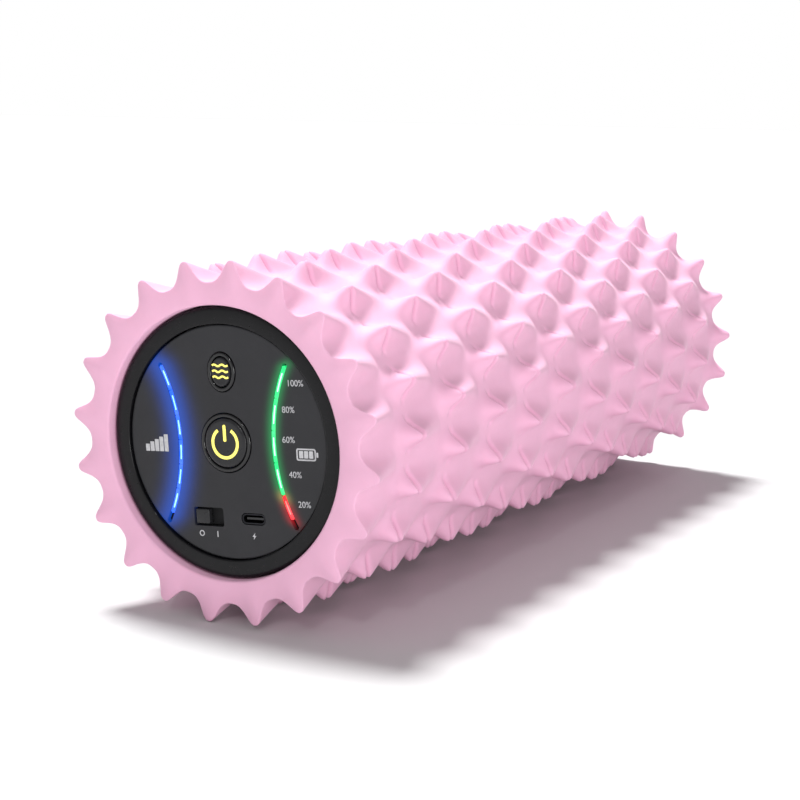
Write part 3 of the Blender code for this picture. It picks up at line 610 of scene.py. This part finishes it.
def rear_cap(finish, steel):
    """The rear cover with its ring groove and shallow recess, and its three screws in their wells."""
    inner_end, face = (corner.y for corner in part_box("rear_cap"))
    bore, floor, rim = SPIGOT_RADIUS - SPIGOT_WALL, face - CAP_DEPTH, face - RIM_LENGTH
    groove, recess = face - CAP_GROOVE_DEPTH, face - CAP_RECESS_DEPTH
    outline = smooth_outline([
        (0, floor, 0), (bore, floor, 0.3 * MM), (bore, inner_end, 0.3 * MM),
        (SPIGOT_RADIUS, inner_end, 0.3 * MM), (SPIGOT_RADIUS, rim, 0.2 * MM), (CORE_RADIUS, rim, 0.3 * MM),
        (CORE_RADIUS, face, 1.4 * MM), (CAP_GROOVE[1], face, 0.4 * MM), (CAP_GROOVE[1], groove, 0.15 * MM),
        (CAP_GROOVE[0], groove, 0.15 * MM), (CAP_GROOVE[0], face, 0.4 * MM),
        (CAP_RECESS[1], face, 0.3 * MM), (CAP_RECESS[0], recess, 0.3 * MM), (0, recess, 0)])
    cap = piece("rear_cover", *lathe(outline, 160), finish, "shell", ["rear_cap"])
    wells = []
    for i in range(3):
        node = f"rear_cap_screw_{i + 1}"
        low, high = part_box(node)
        centre = TURN.inverted() @ Vector(((low.x + high.x) / 2, 0, (low.z + high.z) / 2))
        at = (centre.x, centre.z)
        above = face + 0.4 * MM
        wells.append(lathe([(0, face - WELL_DEPTH), (WELL_RADIUS, face - WELL_DEPTH),
                            (WELL_RADIUS, face - 0.3 * MM), (WELL_MOUTH, above), (0, above)], 40, at))
        top, socket, under = high.y, high.y - SCREW_SOCKET_DEPTH, high.y - SCREW_HEAD_HEIGHT
        head = smooth_outline([(0, socket, 0), (SCREW_SOCKET_RADIUS, socket, 0.1 * MM),
                               (SCREW_SOCKET_RADIUS + 0.1 * MM, top, 0.15 * MM),
                               (SCREW_HEAD_RADIUS, top, 0.7 * MM), (SCREW_HEAD_RADIUS, under, 0),
                               (0, under, 0)])
        screw = piece(f"cap_screw_head_{i + 1}", *lathe(head, 36, at), steel, "shell", [node])
    carve(cap, *wells)
    flat_ends(cap)


# Control panel ----------------------------------------------------------------------------------

def face_plate(finish):
    """The panel, cut through for the buttons, arcs, switch and socket."""
    outline = smooth_outline([(0, PLATE_FRONT, 0), (PLATE_RADIUS, PLATE_FRONT, 0.6 * MM),
                              (PLATE_RADIUS, PLATE_BACK, 0.2 * MM), (0, PLATE_BACK, 0)])
    plate = piece("panel_face", *lathe(outline, 160), finish, "shell", ["face_plate"])
    front, back = PLATE_FRONT - 2 * MM, PLATE_BACK + 2 * MM
    reach = RING_WIDTH + 2 * GAP
    cuts = [ellipse(POWER_HALF[0] + reach, POWER_HALF[1] + reach, 96),
            ellipse(MODE_HALF[0] + reach, MODE_HALF[1] + reach, 80, (0, MODE_Z)),
            light_arc(-1, ARC_BOTTOM, ARC_TOP, ARC_SLOT),
            light_arc(1, ARC_BOTTOM, ARC_TOP, ARC_SLOT),
            rounded_rectangle(SWITCH_HOLE, 0.8 * MM, SWITCH_AT),
            rounded_rectangle(USB_HOLE, 1.8 * MM, USB_AT)]
    carve(plate, *[slab(cut, front, back) for cut in cuts])
    soften_edges(plate, 0.15 * MM, 2, angle_limit=50)
    flat_ends(plate)


def trim_ring(name, half, z, finish):
    """A glossy ring of rounded section round a button."""
    steps, front, back = 96, PLATE_FRONT - 0.4 * MM, PLATE_BACK + 0.6 * MM
    section = smooth_outline([(GAP, front, 0.45 * MM), (GAP + RING_WIDTH, front, 0.45 * MM),
                              (GAP + RING_WIDTH, back, 0.1 * MM), (GAP, back, 0.1 * MM)])
    points, faces = [], []
    for i in range(steps):
        angle = 2 * math.pi * i / steps
        for outward, y in section:
            points.append(((half[0] + outward) * math.cos(angle), y,
                           z + (half[1] + outward) * math.sin(angle)))
    rows = len(section)
    for i in range(steps):
        here, there = i * rows, (i + 1) % steps * rows
        faces += [(here + j, here + (j + 1) % rows, there + (j + 1) % rows, there + j) for j in range(rows)]
    ring = piece(f"{name}_trim", points, faces, finish, "shell", [f"{name}_ring"])


def button(name, body, half, z, finish):
    """The key's cap with a softly dished face, and its stem. Gives the y of the cap's front."""
    low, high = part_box(f"{name}_button")
    front = low.y
    cap_back = PLATE_BACK + 0.2 * MM
    steps = 96
    # Share of the cap's width, and y
    sections = [(0.0, front + 0.22 * MM), (0.45, front + 0.18 * MM), (0.80, front + 0.04 * MM),
                (0.88, front), (0.95, front + 0.12 * MM), (0.99, front + 0.4 * MM), (1.0, front + 0.8 * MM),
                (1.0, cap_back)]
    points, faces = [], []
    for share, y in sections:
        points += [(x, y, z + dz) for x, dz in ellipse(half[0] * share, half[1] * share, steps)]
    for y in (cap_back, high.y):
        points += [(x, y, z + dz) for x, dz in ellipse(STEM_RADIUS, STEM_RADIUS, steps)]
    rows = len(sections) + 2
    for here in range(0, (rows - 1) * steps, steps):
        there = here + steps
        faces += [(here + j, here + (j + 1) % steps, there + (j + 1) % steps, there + j)
                  for j in range(steps)]
    faces.append(tuple(range((rows - 1) * steps, rows * steps)))
    key = piece(f"{name}_key_cap", points, faces, finish, body, [f"{name}_button"])
    return front


def mark(name, outlines, y, finish, body, thick=PRINT):
    """Flat printed shapes standing just proud of the surface at y."""
    solids = [slab(outline, y - thick, y + 0.02 * MM) for outline in outlines]
    return piece(name, *joined(solids), finish, body)


def power_symbol(y, ink):
    """A broken ring with a bar in its gap, on a key whose front is at y."""
    half_gap = 32
    ring = ribbon(arc((0, 0), 4.9 * MM, 90 + half_gap, 450 - half_gap, 48), 1.05 * MM)
    bar = rounded_rectangle((1.1 * MM, 5.6 * MM), 0.5 * MM, (0, 3.3 * MM))
    mark("power_symbol", [ring, bar], y + 0.12 * MM, ink, "power_key", SYMBOL)


def mode_symbol(y, ink):
    """Three waves of two periods, on a key whose front is at y."""
    length, spacing, swing, points = 6.2 * MM, 1.95 * MM, 0.28 * MM, 31
    waves = []
    for row in (-1, 0, 1):
        middle = MODE_Z + 0.3 * MM + row * spacing
        xs = [length * (i / (points - 1) - 0.5) for i in range(points)]
        path = [(x, middle + swing * math.sin(x / length * 4 * math.pi)) for x in xs]
        waves.append(ribbon(path, 0.62 * MM))
    mark("mode_symbol", waves, y + 0.14 * MM, ink, "mode_key", SYMBOL)


def light_bars(guides, cores, dark):
    """Lit segments with gaps between them, a bright core in each, and a dark bed under the two slots."""
    front, back = PLATE_FRONT + 0.25 * MM, PLATE_BACK
    bars = (("speed_light", -1, LIT_BOTTOM, LIT_TOP, 6, "blue_light"),
            ("battery_light", 1, GREEN_BOTTOM, LIT_TOP, 4, "green_light"),
            ("low_light", 1, LIT_BOTTOM, RED_TOP, 1, "red_light"))
    for name, side, low, high, count, slot in bars:
        length = (high - low) / count
        starts = [low + length * i for i in range(count)]
        lit = [slab(light_arc(side, start + SEGMENT_GAP / 2, start + length - SEGMENT_GAP / 2,
                              ARC_WIDTH, 10), front, back) for start in starts]
        piece(name, *joined(lit), guides[slot], "shell", [f"{name}_guide"])
        core = [slab(light_arc(side, start + 0.22 * length, start + 0.78 * length, 0.5 * MM, 8),
                     front - 0.03 * MM, front + 0.1 * MM) for start in starts]
        piece(f"{name}_core", *joined(core), cores[slot], "shell")
    beds = [slab(light_arc(side, ARC_BOTTOM + 0.2 * MM, ARC_TOP - 0.2 * MM, ARC_SLOT - 0.15 * MM),
                 back - 0.5 * MM, back - 0.05 * MM) for side in (-1, 1)]
    piece("light_slot_beds", *joined(beds), dark, "shell")


def switch(knob_finish, dark):
    """The slide switch's knob at the left end of its travel, and the floor of its slot."""
    x, z = SWITCH_AT
    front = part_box("switch_knob")[0].y
    outline = rounded_rectangle(SWITCH_KNOB, 0.5 * MM, (x - SWITCH_TRAVEL / 2, z))
    knob = piece("switch_slider_cap", *slab(outline, front, PLATE_BACK + 0.15 * MM), knob_finish,
                 "switch_slider", ["switch_knob"])
    soften_edges(knob, 0.3 * MM, 3)
    under = slab(rounded_rectangle((8.6 * MM, 5.8 * MM), 0.4 * MM, (x, z)), PLATE_BACK + 0.25 * MM,
                 PLATE_BACK + 0.45 * MM)
    piece("switch_slot_floor", *under, dark, "shell")


def digits(text, centre, height, y, ink, name):
    """A generic number printed on the panel."""
    curve = bpy.data.curves.new(name, "FONT")
    curve.body = text
    curve.size = height * 1.4  # a font's digits stand about 0.7 of its size
    curve.align_x, curve.align_y = "CENTER", "CENTER"
    curve.extrude = PRINT / 2
    made = bpy.data.objects.new(name, curve)
    bpy.context.collection.objects.link(made)
    upright = Matrix.Rotation(math.pi / 2, 4, "X")
    made.matrix_world = TURN @ Matrix.Translation((centre[0], y - PRINT / 2, centre[1])) @ upright
    mesh = evaluated_mesh(made)
    mesh.transform(made.matrix_world)
    bpy.data.objects.remove(made)
    mesh.materials.clear()
    mesh.materials.append(ink)
    label = bpy.data.objects.new(name, mesh)
    bpy.context.collection.objects.link(label)
    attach(label, "shell")


def level_numbers(ink):
    """The battery's level in percent, beside the green and red arc."""
    for number, x, z in ((100, 28.4, 20.0), (80, 25.2, 11.4), (60, 24.6, 1.6), (40, 26.4, -9.8),
                         (20, 29.2, -19.5)):
        digits(f"{number}%", (x * MM, z * MM), 2.1 * MM, PLATE_FRONT, ink, f"level_{number}")


def strength_icon(ink):
    """Five bars, each taller than the one before."""
    left, foot, spacing = -32.4 * MM, -3.6 * MM, 1.95 * MM
    bars = []
    for i in range(5):
        height = (2.4 + 0.85 * i) * MM
        centre = (left + spacing * i, foot + height / 2)
        bars.append(rounded_rectangle((1.6 * MM, height), 0.15 * MM, centre))
    mark("strength_icon", bars, PLATE_FRONT, ink, "shell")


def battery_icon(ink):
    """An outlined battery with three cells and its pole."""
    x, z = 31.0 * MM, -3.0 * MM
    outer = rounded_rectangle((7.4 * MM, 4.0 * MM), 0.7 * MM, (x, z))
    inner = rounded_rectangle((6.4 * MM, 3.0 * MM), 0.4 * MM, (x, z))
    icon = mark("battery_icon", [outer], PLATE_FRONT, ink, "shell")
    carve(icon, slab(inner, PLATE_FRONT - MM, PLATE_FRONT + MM))
    cells = [rounded_rectangle((1.55 * MM, 2.4 * MM), 0.2 * MM, (x + offset * 1.9 * MM, z))
             for offset in (-1, 0, 1)]
    pole = rounded_rectangle((0.7 * MM, 1.6 * MM), 0.2 * MM, (x + 4.25 * MM, z))
    mark("battery_icon_cells", [*cells, pole], PLATE_FRONT, ink, "shell")


def switch_marks(ink):
    """A circle and a bar under the switch, and a lightning bolt under the socket."""
    ring = ribbon(arc((SWITCH_AT[0] - 3.2 * MM, MARKS_Z), 0.85 * MM, 0, 359, 30), 0.34 * MM)
    stroke = rounded_rectangle((0.4 * MM, 2.0 * MM), 0.15 * MM, (SWITCH_AT[0] + 3.2 * MM, MARKS_Z))
    upper = ((0.35, 1.15), (-0.75, -0.15), (-0.1, -0.15))
    lower = [(-dx, -dz) for dx, dz in upper]
    bolt = [(USB_AT[0] + dx * MM, MARKS_Z + dz * MM) for dx, dz in (*upper, *lower)]
    mark("switch_marks", [ring, stroke, bolt], PLATE_FRONT, ink, "shell")


# Stage ------------------------------------------------------------------------------------------

def carried_over(finishes):
    """Better materials for the CAD nodes that stay, by node name or else by material slot."""
    slots = {entry["node"]: entry["material_slot"] for entry in frame["record"]["subparts"]}
    for name, node in frame["nodes"].items():
        finish = finishes.get(name) or finishes[slots[name]]
        if node.data.materials:
            for i in range(len(node.data.materials)):
                node.data.materials[i] = finish
        else:
            node.data.materials.append(finish)


def camera():
    """The photograph's view: a moderate telephoto, from the front right and a little above."""
    back = Vector((math.sin(AZIMUTH) * math.cos(ELEVATION), -math.cos(AZIMUTH) * math.cos(ELEVATION),
                   math.sin(ELEVATION)))
    right = Vector((math.cos(AZIMUTH), math.sin(AZIMUTH), 0))
    up = back.cross(right)
    right, up = (right * math.cos(ROLL) + up * math.sin(ROLL), up * math.cos(ROLL) - right * math.sin(ROLL))
    made = bpy.data.objects.new("camera", bpy.data.cameras.new("camera"))
    bpy.context.collection.objects.link(made)
    spot = Vector((0, FRONT, 0)) + CAMERA_DISTANCE * back + CAMERA_RIGHT * right + CAMERA_UP * up
    made.matrix_world = Matrix.Translation(spot) @ Matrix((right, up, back)).transposed().to_4x4()
    made.data.sensor_width, made.data.lens = SENSOR, LENS
    made.data.clip_start, made.data.clip_end = 0.01, 30
    bpy.context.scene.camera = made


def area_light(name, spot, size, power):
    """A square light that faces the middle of the roller."""
    light = bpy.data.lights.new(name, "AREA")
    light.size, light.energy = size, power
    made = bpy.data.objects.new(name, light)
    bpy.context.collection.objects.link(made)
    made.location = spot
    made.rotation_euler = (Vector((0, 0, 0)) - Vector(spot)).to_track_quat("-Z", "Y").to_euler()


def studio():
    """White surroundings, one large soft key light, two small lights at the front and a pale floor."""
    world = bpy.data.worlds.new("studio")
    world.use_nodes = True
    tree = world.node_tree
    background = tree.nodes["Background"]
    background.inputs["Color"].default_value = (1.0, 1.0, 1.0, 1)
    seen = tree.nodes.new("ShaderNodeLightPath").outputs["Is Camera Ray"]
    level = tree.nodes.new("ShaderNodeMapRange")
    level.inputs["To Min"].default_value = WORLD_LIGHT
    level.inputs["To Max"].default_value = 1.0
    tree.links.new(seen, level.inputs["Value"])
    tree.links.new(level.outputs["Result"], background.inputs["Strength"])
    bpy.context.scene.world = world
    sun = bpy.data.lights.new("key", "SUN")
    sun.energy, sun.angle = KEY_STRENGTH, KEY_ANGLE
    key = bpy.data.objects.new("key", sun)
    key.rotation_euler = Vector(KEY_FROM).to_track_quat("Z", "Y").to_euler()
    bpy.context.collection.objects.link(key)
    area_light("fill", spot=(0.95, -0.80, -0.01), size=0.6, power=10.0)
    area_light("glint", spot=(0.24, -1.0, 0.61), size=0.07, power=1.3)
    floor_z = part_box("foam_sleeve")[0].z
    corners = [(sx * FLOOR_HALF, sy * FLOOR_HALF, floor_z) for sx, sy in ((-1, -1), (1, -1), (1, 1), (-1, 1))]
    floor = piece("floor", corners, [(0, 1, 2, 3)], floor_finish(), None, turn=False)
    bpy.context.scene.view_settings.view_transform = "Standard"


def main():
    shell = moulded("shell_plastic", (0.004, 0.004, 0.005), 0.30)
    trim = moulded("trim_gloss", (0.003, 0.003, 0.004), 0.16, grain=0.03, coat=0.6)
    key = moulded("key_plastic", (0.016, 0.016, 0.018), 0.30, grain=0.05, coat=0.2)
    dark = moulded("slot_dark", (0.006, 0.006, 0.007), 0.6)
    steel = metal("plated_steel", (0.60, 0.60, 0.62), 0.32, (1, 14, 1))
    guides = {"blue_light": lamp("blue_lamp", (0.005, 0.10, 0.95), 1.0),
              "green_light": lamp("green_lamp", (0.01, 0.62, 0.16), 1.0),
              "red_light": lamp("red_lamp", (0.90, 0.01, 0.02), 1.0)}
    cores = {"blue_light": lamp("blue_core", (0.25, 0.62, 1.0), 1.25),
             "green_light": lamp("green_core", (0.45, 1.0, 0.62), 1.15),
             "red_light": lamp("red_core", (1.0, 0.16, 0.14), 1.0)}
    yellow = print_ink("yellow_ink", (0.90, 0.80, 0.16), 0.75)
    pale = print_ink("pale_ink", (0.50, 0.50, 0.52), 0.12)

    foam_sleeve()
    front_housing(shell)
    rear_cap(shell, steel)
    face_plate(panel_face())
    trim_ring("power", POWER_HALF, 0.0, trim)
    trim_ring("mode", MODE_HALF, MODE_Z, trim)
    power_symbol(button("power", "power_key", POWER_HALF, 0.0, key), yellow)
    mode_symbol(button("mode", "mode_key", MODE_HALF, MODE_Z, key), yellow)
    light_bars(guides, cores, dark)
    switch(key, dark)
    level_numbers(pale)
    strength_icon(pale)
    battery_icon(pale)
    switch_marks(pale)

    carried_over({
        "foam": frame["nodes"]["foam_sleeve"].data.materials[0],
        "shell_black": shell, "panel_black": key, "trim_black": trim, "steel": steel, **guides,
        "board_green": moulded("solder_mask", (0.02, 0.16, 0.07), 0.3, coat=0.4),
        "white_plastic": moulded("white_plastic", (0.80, 0.80, 0.78), 0.45),
        "grey_plastic": moulded("grey_nylon", (0.25, 0.25, 0.27), 0.55),
        "cell_blue": moulded("cell_sleeve", (0.04, 0.16, 0.45), 0.3, coat=0.3),
        "usb_shell": metal("blackened_steel", (0.035, 0.035, 0.04), 0.4),
        "magnet": metal("ferrite", (0.12, 0.12, 0.13), 0.55),
        "copper": metal("copper_windings", (0.72, 0.32, 0.12), 0.35, (1, 1, 12)),
        "rubber": moulded("damper_rubber", (0.03, 0.03, 0.03), 0.8, grain=0.2),
        "brass": metal("turned_brass", (0.78, 0.60, 0.26), 0.3, (1, 10, 1)),
        "red_wire": moulded("wire_insulation", (0.60, 0.03, 0.03), 0.45, grain=0.03),
    })
    camera()
    studio()


main()
